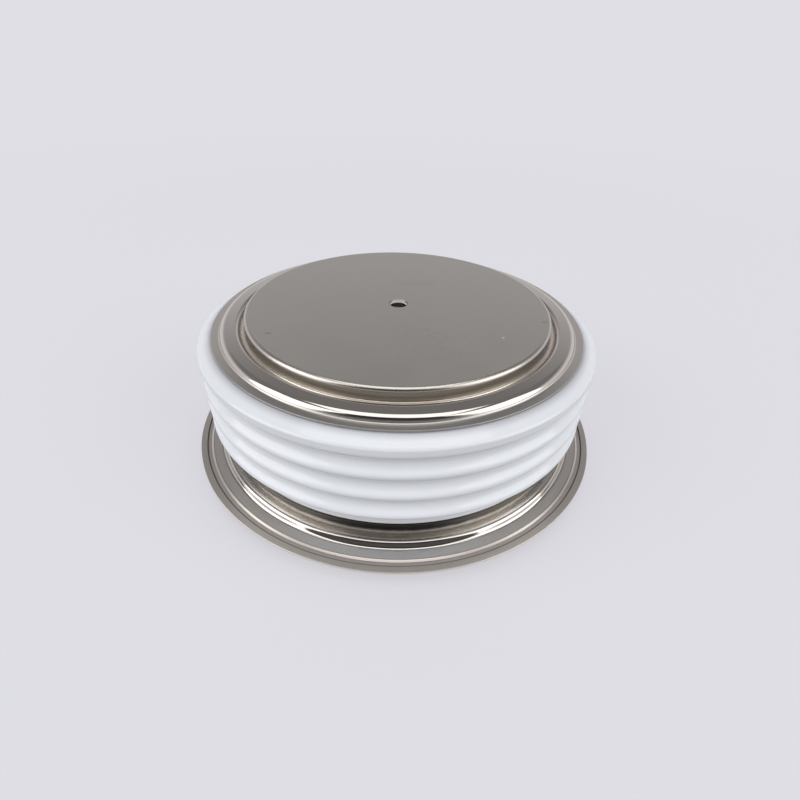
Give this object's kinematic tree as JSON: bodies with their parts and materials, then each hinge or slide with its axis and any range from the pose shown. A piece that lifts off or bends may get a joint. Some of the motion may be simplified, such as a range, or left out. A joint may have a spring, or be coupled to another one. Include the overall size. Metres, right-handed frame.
{
  "type": "disc thyristor",
  "caption": "Press-pack disc thyristor: ribbed white ceramic ring between plated copper contact faces, with a cold-welded rim and a gate pin on its side.",
  "frame": {"origin": "centre of the anode contact face, at the bottom of the capsule", "axes": "+Z along the capsule's axis, from the anode contact face to the cathode contact face; +Y to the gate pin"},
  "size_m": [0.073, 0.073, 0.026],
  "materials": {
    "nickel_contact": "satin nickel plate on copper",
    "nickel_sheet": "bright nickel plate on formed sheet",
    "glazed_alumina": "white glaze",
    "silver": "soft silver foil",
    "molybdenum": "lapped",
    "silicon": "lapped silicon",
    "silicone_rubber": "cast rubber",
    "white_plastic": "turned plastic",
    "steel_wire": "drawn wire",
    "gilt": "gold plate"
  },
  "bodies": {
    "root": {"cathode_pole": "nickel_contact", "cathode_flange": "nickel_sheet", "ceramic_ring": "glazed_alumina", "weld_flange": "nickel_sheet", "anode_flange": "nickel_sheet", "anode_pole": "nickel_contact", "anode_foil": "silver", "anode_disc": "molybdenum", "silicon_wafer": "silicon", "edge_seal": "silicone_rubber", "cathode_disc": "molybdenum", "cathode_foil": "silver", "centring_ring": "white_plastic", "gate_cup": "white_plastic", "gate_spring": "steel_wire", "gate_contact": "gilt", "gate_wire": "steel_wire", "wire_sleeve": "white_plastic", "gate_tube": "nickel_sheet", "gate_terminal": "nickel_sheet"}
  },
  "joints": []
}
